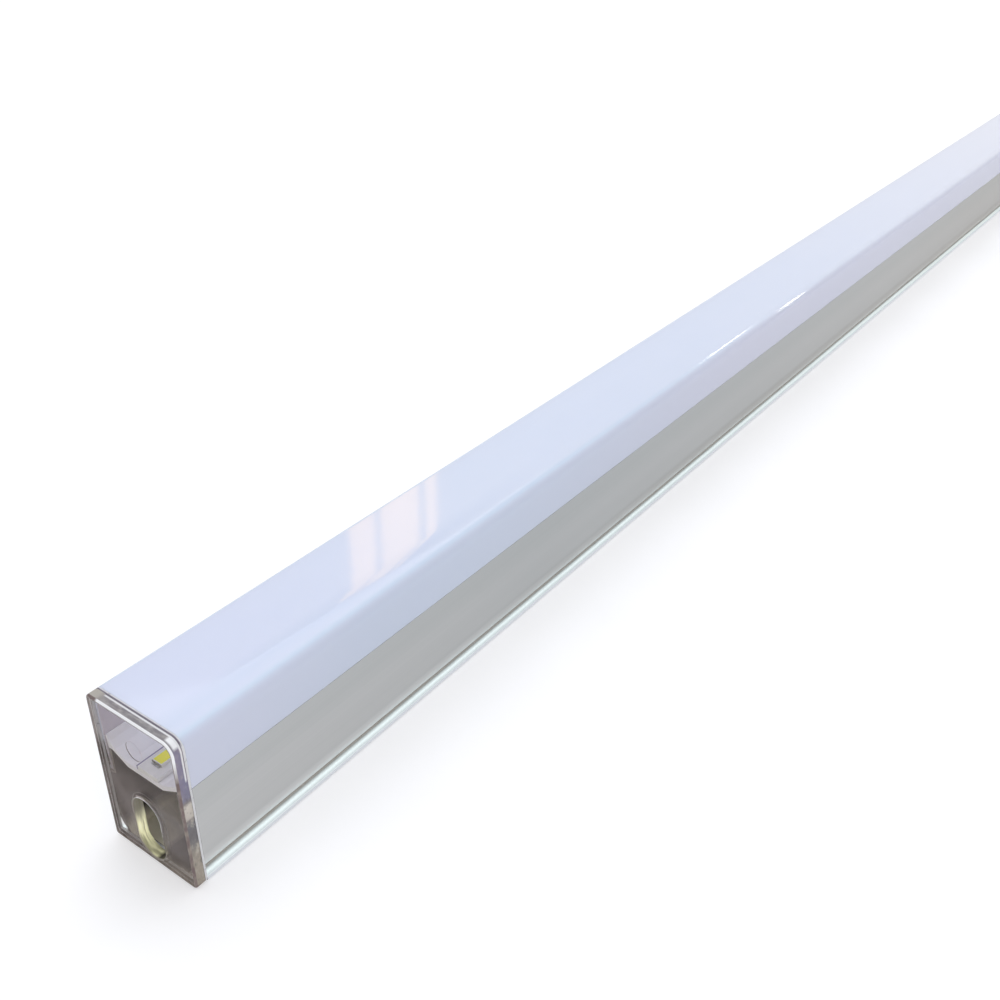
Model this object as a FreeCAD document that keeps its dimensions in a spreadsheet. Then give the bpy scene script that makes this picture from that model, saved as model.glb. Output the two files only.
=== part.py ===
import FreeCAD, Part
import math
import os
import Sketcher

# Linear LED light tube: housing and cover extrusions, end caps, LED boards, driver and lead.
# Frame: +Z up, Y along the tube, X across it. "Near" is the -Y end, "far" the +Y end.
# Origin: middle of the base face, half way along the tube. Millimetres.

Vector = FreeCAD.Vector
doc = FreeCAD.newDocument("led_light_tube")

# ---------------------------------------------------------------- driving dimensions
# x and z sizes of sections are measured from the middle plane and the base face; sizes
# ending in _near and _far are distances from the origin along the tube.
DIMENSIONS = dict(
    # overall envelope
    tube_length=1200.0, tube_width=25.0, tube_height=38.3,
    # housing extrusion
    housing_wall=0.75, housing_top=25.6, housing_foot_corner=0.4, floor_thick=1.2,
    ledge_height=1.1, ledge_corner=0.25, groove_back=10.0, groove_top=1.7,
    curl_start_z=7.2, curl_radius=7.3,
    pocket_floor=18.0, fin_inner=9.75, fin_outer=10.3, fin_top=24.05, fin_root_drop=0.35,
    rib_depth=0.45, rib_low=19.7, rib_high=20.5,
    chamber_foot=8.9, chamber_low_x=9.6, chamber_low_z=2.45,
    chamber_mid_x=11.0, chamber_mid_z=4.4, chamber_flare_z=7.6, shelf_under=17.0,
    # cover extrusion; cover_corner is at +X, cover_edge at -X
    cover_bottom=25.7, cover_wall=1.4, cover_corner=2.8, cover_edge=1.1,
    leg_root=11.6, leg_inner=10.5, leg_outer=11.05,
    leg_foot_outer=11.5, leg_foot_z=18.95, leg_bottom=18.15,
    # end caps; on the tube cap_corner is at +X, cap_back_corner at -X
    cap_thick=2.4, cap_edge=0.5, cap_corner=2.8, cap_back_corner=1.1, cap_foot_corner=0.8,
    slot_width=8.1, slot_height=15.9, slot_centre=9.05, slot_edge=0.3,
    gate_radius=2.35, gate_depth=0.15, gate_centre_x=0.85, gate_centre_z=29.2,
    # gaskets
    gasket_thick=0.6, gasket_gap=0.03, gasket_ring=0.75, gasket_foot=1.05,
    # reflector tray
    tray_near=596.85, tray_far=584.0, tray_floor=21.9, tray_thick=1.2,
    tray_flat=5.2, tray_top_extra=0.1, tray_seat_in=9.5, tray_seat_out=10.7, tray_seat_z=24.1,
    tray_lip_x=10.9, tray_lip_z=27.4, tray_lip_thick=0.25,
    tray_bend_x=10.1, tray_bend_z=25.95, tray_shoulder_x=8.6, tray_shoulder_z=24.75,
    # LED boards and their tape
    tape_thick=0.1, tape_width=5.0, tape_near_inset=0.6, tape_far_inset=0.5,
    board_width=6.2, board_thick=1.0, board_offset=0.9,
    board_near=596.85, board_far=582.5, board_split=7.0, board_gap=0.3,
    # parts on the LED boards
    led_width=2.8, led_length=3.5, led_height=0.75,
    led_lens_width=2.45, led_lens_length=3.1, led_lens_depth=0.4,
    led_count=96.0, led_first=592.65, led_last=578.0,
    phosphor_gap=0.01, phosphor_drop=0.02,
    led_pad_width=2.2, led_pad_length=0.45, led_pad_height=0.18, led_pad_gap=0.01,
    resistor_width=1.6, resistor_length=3.2, resistor_height=0.55, resistor_count=16.0,
    jumper_width=1.2, jumper_length=3.0, jumper_height=0.4, jumper_reach=2.3,
    # driver
    sleeve_near=396.0, sleeve_far=568.0, sleeve_width=16.4, sleeve_wall=0.4,
    sleeve_corner=1.5, sleeve_low=1.3, sleeve_high=19.5,
    driver_near=400.0, driver_far=565.0, driver_width=14.6,
    driver_low=2.7, driver_thick=1.6, driver_part_gap=0.05,
    # supply lead, grommet, tie and output wires
    lead_radius=3.1, lead_inside=580.0, lead_outside=765.0, lead_clearance=0.03,
    core_radius=1.0, core_offset=1.15,
    grommet_gap=0.05, grommet_inset=0.1, grommet_rim=0.5,
    grommet_flange=0.9, grommet_flange_thick=1.2,
    tie_width=2.6, tie_thick=0.9, wire_radius=0.7,
)

sheet = doc.addObject("Spreadsheet::Sheet", "Params")
for row, (alias, number) in enumerate(DIMENSIONS.items(), start=1):
    sheet.set(f"A{row}", alias)
    sheet.set(f"B{row}", repr(number))
    sheet.setAlias(f"B{row}", alias)
doc.recompute()


class Size:
    """A length that knows both its value and the sheet formula it comes from."""

    def __init__(self, number, text):
        self.value = float(number)
        self.text = text

    @staticmethod
    def of(other):
        if isinstance(other, Size):
            return other
        return Size(other, repr(float(other)))

    def __add__(self, other):
        other = Size.of(other)
        return Size(self.value + other.value, f"({self.text} + {other.text})")

    def __radd__(self, other):
        return Size.of(other) + self

    def __sub__(self, other):
        other = Size.of(other)
        return Size(self.value - other.value, f"({self.text} - {other.text})")

    def __rsub__(self, other):
        return Size.of(other) - self

    def __mul__(self, other):
        other = Size.of(other)
        return Size(self.value * other.value, f"({self.text} * {other.text})")

    __rmul__ = __mul__

    def __truediv__(self, other):
        other = Size.of(other)
        return Size(self.value / other.value, f"({self.text} / {other.text})")

    def __neg__(self):
        return Size(-self.value, f"(-1 * {self.text})")


class Dimensions:
    """dim.tube_width is the Size behind the sheet's alias tube_width."""

    def __getattr__(self, alias):
        return Size(DIMENSIONS[alias], "Params." + alias)


dim = Dimensions()


def value(size):
    return Size.of(size).value


def bind(obj, prop, size):
    """Ties a property to the sheet; a plain one also gets its value at once."""
    size = Size.of(size)
    if "." not in prop:
        setattr(obj, prop, size.value)
    obj.setExpression(prop, size.text)


def centred(middle, width):
    """The span of a width about its middle."""
    return middle - width / 2.0, middle + width / 2.0


nodes = []


def keep(obj):
    """Marks an object as a piece to export."""
    nodes.append(obj)
    return obj


def add(kind, label):
    obj = doc.addObject(kind, label)
    obj.Label = label
    return obj


# ---------------------------------------------------------------- sketches
def origin_feature(body, role):
    return [o for o in body.Origin.OriginFeatures if o.Role == role][0]


def new_sketch(body, name, role="XZ_Plane", offset=None):
    """Sketch on an origin plane. The normal of XZ_Plane points to -Y."""
    sketch = body.newObject("Sketcher::SketchObject", name)
    sketch.AttachmentSupport = [(origin_feature(body, role), "")]
    sketch.MapMode = "FlatFace"
    if offset is not None:
        bind(sketch, "AttachmentOffset.Base.z", offset)
    return sketch


def position_rules(index, vertex, x, y):
    """Constraints, with their formulas, that hold a sketch point at (x, y)."""
    rules = []
    for kind, coord, axis in (("DistanceX", x, -2), ("DistanceY", y, -1)):
        coord = Size.of(coord)
        if abs(coord.value) < 1e-9:
            rule = Sketcher.Constraint("PointOnObject", index, vertex, axis)
            rules.append((rule, ""))
        elif coord.value > 0:
            rule = Sketcher.Constraint(kind, -1, 1, index, vertex, coord.value)
            rules.append((rule, coord.text))
        else:
            rule = Sketcher.Constraint(kind, index, vertex, -1, 1, -coord.value)
            rules.append((rule, (-coord).text))
    return rules


def constrain(sketch, rules):
    first = sketch.ConstraintCount
    sketch.addConstraint([rule for rule, _ in rules])
    for index, (_, text) in enumerate(rules, start=first):
        if "Params." in text:
            sketch.setExpression(f"Constraints[{index}]", text)
    if sketch.solve() != 0:
        raise RuntimeError(f"{sketch.Name} does not solve")


def arc_between(start, end, radius, side):
    """Arc between two points, and the vertex numbers of its two ends along the outline."""
    (ax, ay), (bx, by) = start, end
    dx, dy = bx - ax, by - ay
    half = math.hypot(dx, dy) / 2.0
    rise = side * math.sqrt(max(radius * radius - half * half, 0.0))
    cx = (ax + bx) / 2.0 - dy / (2 * half) * rise
    cy = (ay + by) / 2.0 + dx / (2 * half) * rise
    from_angle = math.atan2(ay - cy, ax - cx)
    to_angle = math.atan2(by - cy, bx - cx)
    ring = Part.Circle(Vector(cx, cy, 0), Vector(0, 0, 1), radius)
    if side > 0:
        if to_angle <= from_angle:
            to_angle += 2 * math.pi
        return Part.ArcOfCircle(ring, from_angle, to_angle), (1, 2)
    if from_angle <= to_angle:
        from_angle += 2 * math.pi
    return Part.ArcOfCircle(ring, to_angle, from_angle), (2, 1)


def outline(sketch, points):
    """Closed outline. Each point is (x, y) or (x, y, radius, side): the last two
    make the run to the next point an arc, side +1 bulging to the right of
    travel and -1 to the left."""
    base = sketch.GeometryCount
    spots = [(value(point[0]), value(point[1])) for point in points]
    runs = list(zip(points, spots, spots[1:] + spots[:1]))
    geometry, ends = [], []
    for point, start, end in runs:
        if len(point) == 2:
            geometry.append(Part.LineSegment(Vector(*start, 0), Vector(*end, 0)))
            ends.append((1, 2))
        else:
            arc, arc_ends = arc_between(start, end, value(point[2]), point[3])
            geometry.append(arc)
            ends.append(arc_ends)
    sketch.addGeometry(geometry, False)

    rules = []
    for i in range(len(points)):
        j = (i + 1) % len(points)
        joint = Sketcher.Constraint("Coincident", base + i, ends[i][1], base + j, ends[j][0])
        rules.append((joint, ""))
    for i, (point, start, end) in enumerate(runs):
        rules += position_rules(base + i, ends[i][0], point[0], point[1])
        if len(point) > 2:
            radius, level = Size.of(point[2]), Size.of(point[1])
            if abs(math.dist(start, end) - 2.0 * radius.value) < 1e-6:
                # half circle on a level chord: its centre lies level with its ends
                rule = Sketcher.Constraint("DistanceY", -1, 1, base + i, 3, level.value)
                rules.append((rule, level.text))
            else:
                rule = Sketcher.Constraint("Radius", base + i, radius.value)
                rules.append((rule, radius.text))
    constrain(sketch, rules)


def circle(sketch, x, y, radius):
    ring = Part.Circle(Vector(value(x), value(y), 0), Vector(0, 0, 1), radius.value)
    index = sketch.addGeometry(ring, False)
    rule = Sketcher.Constraint("Radius", index, radius.value)
    constrain(sketch, position_rules(index, 3, x, y) + [(rule, radius.text)])


def mirrored(right):
    """Right half from the bottom middle round to the top middle, then its mirror image."""
    left = []
    for i in reversed(range(len(right))):
        x, y = right[i][:2]
        if abs(value(x)) < 1e-9:
            continue
        # the run leaving this mirrored point is the right-hand run arriving at it
        arc = right[i - 1][2:] if i > 0 else ()
        left.append((-Size.of(x), y, *arc))
    return right + left


def rounded_box(half, low, high, foot, right, left):
    """Box outline with radii for both feet, the top right and the top left corner."""
    return [
        (-(half - foot), low),
        (half - foot, low, foot, 1),
        (half, low + foot),
        (half, high - right, right, 1),
        (half - right, high),
        (-(half - left), high, left, 1),
        (-half, high - left),
        (-half, low + foot, foot, 1),
    ]


def obround(sketch, centre_z, width, height):
    """Upright slot shape on the middle line."""
    radius = width / 2.0
    high = centre_z + height / 2.0 - radius
    low = centre_z - height / 2.0 + radius
    outline(sketch, [(radius, low), (radius, high, radius, 1),
                     (-radius, high), (-radius, low, radius, 1)])


# ---------------------------------------------------------------- body features
def extrude(kind, body, name, sketch, length, reverse):
    feature = body.newObject(kind, name)
    feature.Profile = sketch
    feature.Type = "Length"
    bind(feature, "Length", length)
    feature.Reversed = reverse
    body.Tip = feature
    return feature


def pad(body, name, sketch, length, reverse=True):
    """Pad; reversed on the XZ plane it grows towards +Y."""
    return extrude("PartDesign::Pad", body, name, sketch, length, reverse)


def pocket(body, name, sketch, length, reverse=False):
    """Pocket; on the XZ plane it cuts towards +Y unless reversed."""
    doc.recompute()
    before = body.Shape.Volume
    feature = extrude("PartDesign::Pocket", body, name, sketch, length, reverse)
    doc.recompute()
    if not body.Shape.Volume < before - 1e-6:
        raise RuntimeError(f"{name} cut nothing")
    return feature


def round_edges(body, name, radius, level, reach):
    """Rounds the edges that lie in the plane y = level, within reach of the middle line."""
    doc.recompute()
    tip = body.Tip
    picked = []
    for number, edge in enumerate(tip.Shape.Edges, start=1):
        bounds = edge.BoundBox
        in_plane = abs(bounds.YMin - level) < 1e-6 and abs(bounds.YMax - level) < 1e-6
        if in_plane and max(-bounds.XMin, bounds.XMax) <= reach + 1e-6:
            picked.append(f"Edge{number}")
    fillet = body.newObject("PartDesign::Fillet", name)
    fillet.Base = (tip, picked)
    bind(fillet, "Radius", radius)
    body.Tip = fillet
    doc.recompute()


def profile(label, stem, outlines, length, start=None):
    """Section extruded along Y: from start towards +Y, or centred on the origin."""
    body = add("PartDesign::Body", label)
    sketch = new_sketch(body, stem + "_section")
    for points in outlines:
        outline(sketch, points)
    feature = pad(body, stem + "_extrusion", sketch, length, reverse=start is not None)
    if start is None:
        feature.SideType = "Symmetric"
    else:
        bind(body, "Placement.Base.y", start)
    keep(body)


def block_row(label, x, y, z, depth, pitch, count, well=None):
    """Row of equal separate blocks along +Y. x and y are the first block's spans;
    well is the x span, y span and depth of a recess in each top."""
    body = add("PartDesign::Body", label)
    body.AllowCompound = True

    def rectangle(name, level, x_span, y_span):
        sketch = new_sketch(body, name, "XY_Plane", level)
        (x0, x1), (y0, y1) = x_span, y_span
        outline(sketch, [(x0, y0), (x1, y0), (x1, y1), (x0, y1)])
        return sketch

    sketch = rectangle(label + "_sketch", z, x, y)
    originals = [pad(body, label + "_block", sketch, depth, reverse=False)]
    doc.recompute()
    if well is not None:
        well_x, well_y, well_depth = well
        sketch = rectangle(label + "_well_sketch", z + depth, well_x, well_y)
        originals.append(pocket(body, label + "_well", sketch, well_depth))
    pattern = body.newObject("PartDesign::LinearPattern", label + "_row")
    pattern.Originals = originals
    pattern.Direction = (origin_feature(body, "Y_Axis"), [""])
    pattern.Mode = "Spacing"
    bind(pattern, "Offset", pitch)
    pattern.Occurrences = int(round(count.value))
    pattern.setExpression("Occurrences", count.text)
    body.Tip = pattern
    keep(body)


# ---------------------------------------------------------------- simple solids
def box(label, x, y, z):
    """Block given by its spans along the three axes."""
    block = add("Part::Box", label)
    for prop, axis, (low, high) in (("Length", "x", x), ("Width", "y", y), ("Height", "z", z)):
        bind(block, prop, Size.of(high) - low)
        bind(block, "Placement.Base." + axis, low)
    return block


def rod(label, x, y, z, radius, length, axis="Z"):
    """Cylinder from the point (x, y, z) along +Z or +Y."""
    cylinder = add("Part::Cylinder", label)
    bind(cylinder, "Radius", radius)
    bind(cylinder, "Height", length)
    if axis == "Y":
        turn = FreeCAD.Rotation(Vector(1, 0, 0), -90)
        cylinder.Placement = FreeCAD.Placement(Vector(0, 0, 0), turn)
    bind(cylinder, "Placement.Base.x", x)
    bind(cylinder, "Placement.Base.y", y)
    bind(cylinder, "Placement.Base.z", z)
    return cylinder


def group(label, parts):
    """Several separate solids in one piece."""
    compound = add("Part::Compound", label)
    compound.Links = parts
    keep(compound)


def fused(label, parts):
    fusion = add("Part::MultiFuse", label)
    fusion.Shapes = parts
    return fusion


def cut(label, base, tool):
    result = add("Part::Cut", label)
    result.Base = base
    result.Tool = tool
    return result


def rounded(label, base, radius, test):
    """Rounds the edges of a solid that test(edge) picks."""
    doc.recompute()
    fillet = add("Part::Fillet", label)
    fillet.Base = base
    fillet.Edges = [(number, radius, radius)
                    for number, edge in enumerate(base.Shape.Edges, start=1) if test(edge)]
    return fillet


def upright(edge):
    bounds = edge.BoundBox
    return bounds.XLength < 1e-6 and bounds.YLength < 1e-6 and bounds.ZLength > 0.1


def along_y(edge):
    bounds = edge.BoundBox
    return bounds.XLength < 1e-6 and bounds.ZLength < 1e-6 and bounds.YLength > 0.1


def full_circle(edge):
    return len(edge.Vertexes) == 1


half_width = dim.tube_width / 2.0
tube_end = dim.tube_length / 2.0
profile_length = dim.tube_length - 2.0 * (dim.cap_thick + dim.gasket_thick)

# ---------------------------------------------------------------- housing
# Thin aluminium extrusion: chamber for the driver, walls that curl inward above a
# ledge on each side and so leave a clip groove, a pocket that takes the cover's
# leg, and a fin that carries the tray.
wall_inner = half_width - dim.housing_wall
rib_inner = wall_inner - dim.rib_depth
profile("housing_profile", "housing", [mirrored([
    (0, 0),
    (half_width - dim.housing_foot_corner, 0, dim.housing_foot_corner, 1),
    (half_width, dim.housing_foot_corner),
    (half_width, dim.ledge_height - dim.ledge_corner, dim.ledge_corner, 1),
    (half_width - dim.ledge_corner, dim.ledge_height),
    (dim.groove_back, dim.ledge_height),
    (dim.groove_back, dim.groove_top, dim.curl_radius, 1),
    (half_width, dim.curl_start_z),
    (half_width, dim.housing_top),
    (wall_inner, dim.housing_top),
    (wall_inner, dim.rib_high),
    (rib_inner, dim.rib_high),
    (rib_inner, dim.rib_low),
    (wall_inner, dim.rib_low),
    (wall_inner, dim.pocket_floor),
    (dim.fin_outer, dim.pocket_floor),
    (dim.fin_outer, dim.fin_top),
    (dim.fin_inner, dim.fin_top),
    (dim.fin_inner, dim.pocket_floor - dim.fin_root_drop),
    (wall_inner, dim.shelf_under),
    (wall_inner, dim.chamber_flare_z),
    (dim.chamber_mid_x, dim.chamber_mid_z),
    (dim.chamber_low_x, dim.chamber_low_z),
    (dim.chamber_foot, dim.floor_thick),
    (0, dim.floor_thick),
])], profile_length)

# ---------------------------------------------------------------- cover
# Milky extrusion, its top well rounded towards +X and only broken towards -X. Its
# splayed legs slide in the housing pockets, their feet under the housing's ribs.
cover_inner = half_width - dim.cover_wall
cover_inner_radius = dim.cover_corner - dim.cover_wall
cover_inner_top = dim.tube_height - dim.cover_wall
# underside and leg at +X, from the inner wall face out to the side
right_leg = [
    (cover_inner, dim.cover_bottom),
    (dim.leg_inner, dim.leg_foot_z),
    (dim.leg_inner, dim.leg_bottom),
    (dim.leg_foot_outer, dim.leg_bottom),
    (dim.leg_foot_outer, dim.leg_foot_z),
    (dim.leg_outer, dim.leg_foot_z),
    (dim.leg_root, dim.cover_bottom),
    (half_width, dim.cover_bottom),
]
left_leg = [(-x, z) for x, z in reversed(right_leg)]
profile("diffuser_cover", "cover", [right_leg + [
    (half_width, dim.tube_height - dim.cover_corner, dim.cover_corner, 1),
    (half_width - dim.cover_corner, dim.tube_height),
    (-(half_width - dim.cover_edge), dim.tube_height, dim.cover_edge, 1),
    (-half_width, dim.tube_height - dim.cover_edge),
] + left_leg + [
    (-cover_inner, cover_inner_top),
    (cover_inner - cover_inner_radius, cover_inner_top, cover_inner_radius, -1),
    (cover_inner, cover_inner_top - cover_inner_radius),
]], profile_length)


# ---------------------------------------------------------------- end caps and gaskets
# Both are drawn with their outer face at y = 0 and grow towards +Y. At the far end they
# are turned half round, so their corner sizes swap to follow the cover.
def top_corners(far):
    """Radii of the top corners at the sketch's +X and -X."""
    if far:
        return dim.cap_back_corner, dim.cap_corner
    return dim.cap_corner, dim.cap_back_corner


def cap_outline(sketch, far):
    outline(sketch, rounded_box(half_width, 0, dim.tube_height,
                                dim.cap_foot_corner, *top_corners(far)))


def place_at_end(body, far, inset):
    """Puts the outer face an inset away from the tube's end."""
    place = tube_end - inset
    if far:
        half_turn = FreeCAD.Rotation(Vector(0, 0, 1), 180)
        body.Placement = FreeCAD.Placement(Vector(0, 0, 0), half_turn)
    bind(body, "Placement.Base.y", place if far else -place)


def make_cap(label, far):
    """Clear plate with an upright obround cable slot, softened outer edges and
    a shallow gate mark on its inner face."""
    body = add("PartDesign::Body", label)
    sketch = new_sketch(body, label + "_plate_sketch")
    cap_outline(sketch, far)
    pad(body, label + "_plate", sketch, dim.cap_thick)
    round_edges(body, label + "_soft_edge", dim.cap_edge, level=0, reach=half_width.value)

    sketch = new_sketch(body, label + "_slot_sketch")
    obround(sketch, dim.slot_centre, dim.slot_width, dim.slot_height)
    pocket(body, label + "_slot", sketch, dim.cap_thick + 1.0)
    round_edges(body, label + "_slot_soft_edge", dim.slot_edge,
                level=0, reach=dim.slot_width.value / 2.0)

    sketch = new_sketch(body, label + "_gate_sketch", offset=-dim.cap_thick)
    circle(sketch, -dim.gate_centre_x, dim.gate_centre_z, dim.gate_radius)
    pocket(body, label + "_gate_mark", sketch, dim.gate_depth, reverse=True)
    place_at_end(body, far, 0)
    keep(body)


def make_gasket(label, far):
    """Thin ring between a cap and the ends of the two extrusions."""
    body = add("PartDesign::Body", label)
    sketch = new_sketch(body, label + "_ring_sketch")
    cap_outline(sketch, far)
    right, left = [radius - dim.gasket_ring for radius in top_corners(far)]
    inner = half_width - dim.gasket_ring
    top = dim.tube_height - dim.gasket_ring
    outline(sketch, [
        (-inner, dim.gasket_foot),
        (inner, dim.gasket_foot),
        (inner, top - right, right, 1),
        (inner - right, top),
        (-(inner - left), top, left, 1),
        (-inner, top - left),
    ])
    pad(body, label + "_ring", sketch, dim.gasket_thick - 2.0 * dim.gasket_gap)
    place_at_end(body, far, dim.cap_thick + dim.gasket_gap)
    keep(body)


for end_name, is_far in (("near", False), ("far", True)):
    make_cap("end_cap_" + end_name, is_far)
    make_gasket("end_gasket_" + end_name, is_far)

# ---------------------------------------------------------------- tray
tray_top = dim.tray_floor + dim.tray_thick
profile("reflector_tray", "reflector_tray", [mirrored([
    (0, dim.tray_floor),
    (dim.tray_flat, dim.tray_floor),
    (dim.tray_seat_in, dim.tray_seat_z),
    (dim.tray_seat_out, dim.tray_seat_z),
    (dim.tray_lip_x, dim.tray_lip_z),
    (dim.tray_lip_x - dim.tray_lip_thick, dim.tray_lip_z),
    (dim.tray_bend_x, dim.tray_bend_z),
    (dim.tray_shoulder_x, dim.tray_shoulder_z),
    (dim.tray_flat + dim.tray_top_extra, tray_top),
    (0, tray_top),
])], dim.tray_near + dim.tray_far, start=-dim.tray_near)

# ---------------------------------------------------------------- LED boards
tape_top = tray_top + dim.tape_thick
board_top = tape_top + dim.board_thick
board_x = centred(dim.board_offset, dim.board_width)
split_near, split_far = centred(dim.board_split, dim.board_gap)
keep(box("led_board_near", board_x, (-dim.board_near, split_near), (tape_top, board_top)))
keep(box("led_board_far", board_x, (split_far, dim.board_far), (tape_top, board_top)))
keep(box("board_tape", centred(dim.board_offset, dim.tape_width),
         (-dim.board_near + dim.tape_near_inset, dim.board_far - dim.tape_far_inset),
         (tray_top, tape_top)))

# ---------------------------------------------------------------- LED row
led_pitch = (dim.led_first + dim.led_last) / (dim.led_count - 1.0)
led_y = centred(-dim.led_first, dim.led_length)
block_row("led_packages", centred(dim.board_offset, dim.led_width), led_y,
          board_top, dim.led_height, led_pitch, dim.led_count,
          well=(centred(dim.board_offset, dim.led_lens_width),
                centred(-dim.led_first, dim.led_lens_length), dim.led_lens_depth))

# phosphor: fills each package's well, clear of its sides and floor and below its rim
block_row("led_phosphor",
          centred(dim.board_offset, dim.led_lens_width - 2.0 * dim.phosphor_gap),
          centred(-dim.led_first, dim.led_lens_length - 2.0 * dim.phosphor_gap),
          board_top + dim.led_height - dim.led_lens_depth + dim.phosphor_gap,
          dim.led_lens_depth - dim.phosphor_gap - dim.phosphor_drop,
          led_pitch, dim.led_count)

# solder at both ends of each package
solder_near = led_y[0] - dim.led_pad_gap
solder_far = led_y[1] + dim.led_pad_gap
for label, solder_y in (
        ("led_solder_near", (solder_near - dim.led_pad_length, solder_near)),
        ("led_solder_far", (solder_far, solder_far + dim.led_pad_length))):
    block_row(label, centred(dim.board_offset, dim.led_pad_width), solder_y,
              board_top, dim.led_pad_height, led_pitch, dim.led_count)

# chip resistors: one in the middle of every sixth gap between packages
block_row("board_resistors", centred(dim.board_offset, dim.resistor_width),
          centred(-dim.led_first + led_pitch * 2.5, dim.resistor_length),
          board_top, dim.resistor_height, led_pitch * 6.0, dim.resistor_count)

# two solder bridges join the board sections
jumper_left = dim.board_offset - dim.jumper_reach
jumper_right = dim.board_offset + dim.jumper_reach
jumper_y = centred(dim.board_split, dim.jumper_length)
jumper_z = (board_top, board_top + dim.jumper_height)
group("board_jumpers", [
    box("jumper_left", (jumper_left, jumper_left + dim.jumper_width), jumper_y, jumper_z),
    box("jumper_right", (jumper_right - dim.jumper_width, jumper_right), jumper_y, jumper_z),
])

# ---------------------------------------------------------------- driver board and sleeve
driver_top = dim.driver_low + dim.driver_thick
driver_half = dim.driver_width / 2.0
keep(box("driver_board", (-driver_half, driver_half), (dim.driver_near, dim.driver_far),
         (dim.driver_low, driver_top)))

sleeve_half = dim.sleeve_width / 2.0
sleeve_inner_corner = dim.sleeve_corner - dim.sleeve_wall
profile("driver_sleeve", "sleeve", [
    rounded_box(sleeve_half, dim.sleeve_low, dim.sleeve_high, *[dim.sleeve_corner] * 3),
    rounded_box(sleeve_half - dim.sleeve_wall, dim.sleeve_low + dim.sleeve_wall,
                dim.sleeve_high - dim.sleeve_wall, *[sleeve_inner_corner] * 3),
], dim.sleeve_far - dim.sleeve_near, start=dim.sleeve_near)

# ---------------------------------------------------------------- driver components
# Placed by x, by y from the driver board's near end and by z above their seat, which
# is a hair above the board.
seat_z = driver_top + dim.driver_part_gap


def driver_box(label, x, y, z):
    return box(label, x, [dim.driver_near + place for place in y],
               [seat_z + place for place in z])


def driver_rod(label, x, y, z, radius, length, axis="Z"):
    return rod(label, x, dim.driver_near + y, seat_z + z, radius, length, axis)


# terminal block: wire entries in its far face, screws in wells in its top
TERMINAL_LINE_X = -1.5
TERMINAL_NEUTRAL_X = -5.0
TERMINAL_ENTRY_Z = 4.0
TERMINAL_SCREW_Y = 156.0
terminal_xs = (TERMINAL_NEUTRAL_X, TERMINAL_LINE_X)
terminal_body = driver_box("terminal_block_body", (-7.0, 0.6), (151.0, 162.0), (0.0, 9.0))
terminal_holes = []
for k, x in enumerate(terminal_xs):
    terminal_holes += [
        driver_rod(f"terminal_entry_{k}", x, 157.0, TERMINAL_ENTRY_Z,
                   radius=1.25, length=6.0, axis="Y"),
        driver_rod(f"terminal_top_{k}", x, TERMINAL_SCREW_Y, 7.4, radius=1.3, length=2.0),
    ]
keep(cut("driver_terminal", terminal_body, fused("terminal_holes", terminal_holes)))
group("terminal_screws", [
    driver_rod(f"terminal_screw_{k}", x, TERMINAL_SCREW_Y, 7.45, radius=1.2, length=1.1)
    for k, x in enumerate(terminal_xs)])

# fuse: glass tube with two end caps, lying along the board
FUSE_X = -4.4
FUSE_Z = 1.9
keep(driver_rod("driver_fuse", FUSE_X, 132.2, FUSE_Z, radius=1.55, length=8.4, axis="Y"))
group("driver_fuse_caps", [
    driver_rod(label, FUSE_X, y, FUSE_Z, radius=1.75, length=2.05, axis="Y")
    for label, y in (("fuse_cap_near", 130.1), ("fuse_cap_far", 140.65))])

# varistor: disc standing across the board
varistor_disc = driver_rod("varistor_disc", 2.2, 134.0, 4.8, radius=4.7, length=3.6, axis="Y")
keep(rounded("driver_varistor", varistor_disc, 0.9, full_circle))

# choke: drum core with a winding round its post
CHOKE_X = -2.6
CHOKE_Y = 121.0
# name, z, radius, length
CHOKE_CORE = [
    ("choke_low_flange", 0.0, 4.3, 1.2),
    ("choke_post", 0.0, 2.2, 9.6),
    ("choke_high_flange", 8.4, 4.3, 1.2),
]
keep(fused("driver_choke_core", [
    driver_rod(label, CHOKE_X, CHOKE_Y, z, radius, length)
    for label, z, radius, length in CHOKE_CORE]))
keep(cut("driver_choke_winding",
         driver_rod("choke_coil_outer", CHOKE_X, CHOKE_Y, 1.25, radius=3.8, length=7.1),
         driver_rod("choke_coil_bore", CHOKE_X, CHOKE_Y, 1.0, radius=2.25, length=7.6)))

# transformer core: two E cores, which leave a window for the winding
CORE_X = 6.8
CORE_Y = (40.0, 56.0)
CORE_Z = (2.0, 12.6)
keep(fused("driver_transformer_core", [
    driver_box("core_left", (-CORE_X, -4.6), CORE_Y, CORE_Z),
    driver_box("core_right", (4.6, CORE_X), CORE_Y, CORE_Z),
    driver_box("core_near", (-CORE_X, CORE_X), (CORE_Y[0], 43.0), CORE_Z),
    driver_box("core_far", (-CORE_X, CORE_X), (53.0, CORE_Y[1]), CORE_Z),
]))

# blocks with rounded edges: piece, block, x span, y span, height, radius, edges
ROUNDED_BLOCKS = [
    ("driver_film_capacitor", "film_cap_block", (2.0, 6.9), (112.0, 124.0), 10.5, 0.4, upright),
    ("driver_rectifier", "rectifier_block", (0.2, 6.4), (98.0, 107.0), 3.2, 0.3, upright),
    ("driver_controller", "controller_block", (3.0, 6.9), (68.0, 73.0), 1.6, 0.2, upright),
    ("driver_transformer_winding", "winding_block", (-4.55, 4.55), (43.05, 52.95),
     13.4, 1.2, along_y),
]
for label, block_name, x, y, height, radius, edges in ROUNDED_BLOCKS:
    keep(rounded(label, driver_box(block_name, x, y, (0.0, height)), radius, edges))


def capacitor_can(label, can_name, x, y, radius, height):
    """Upright can with both rims rounded."""
    return rounded(label, driver_rod(can_name, x, y, 0.0, radius, height), 0.6, full_circle)


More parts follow.
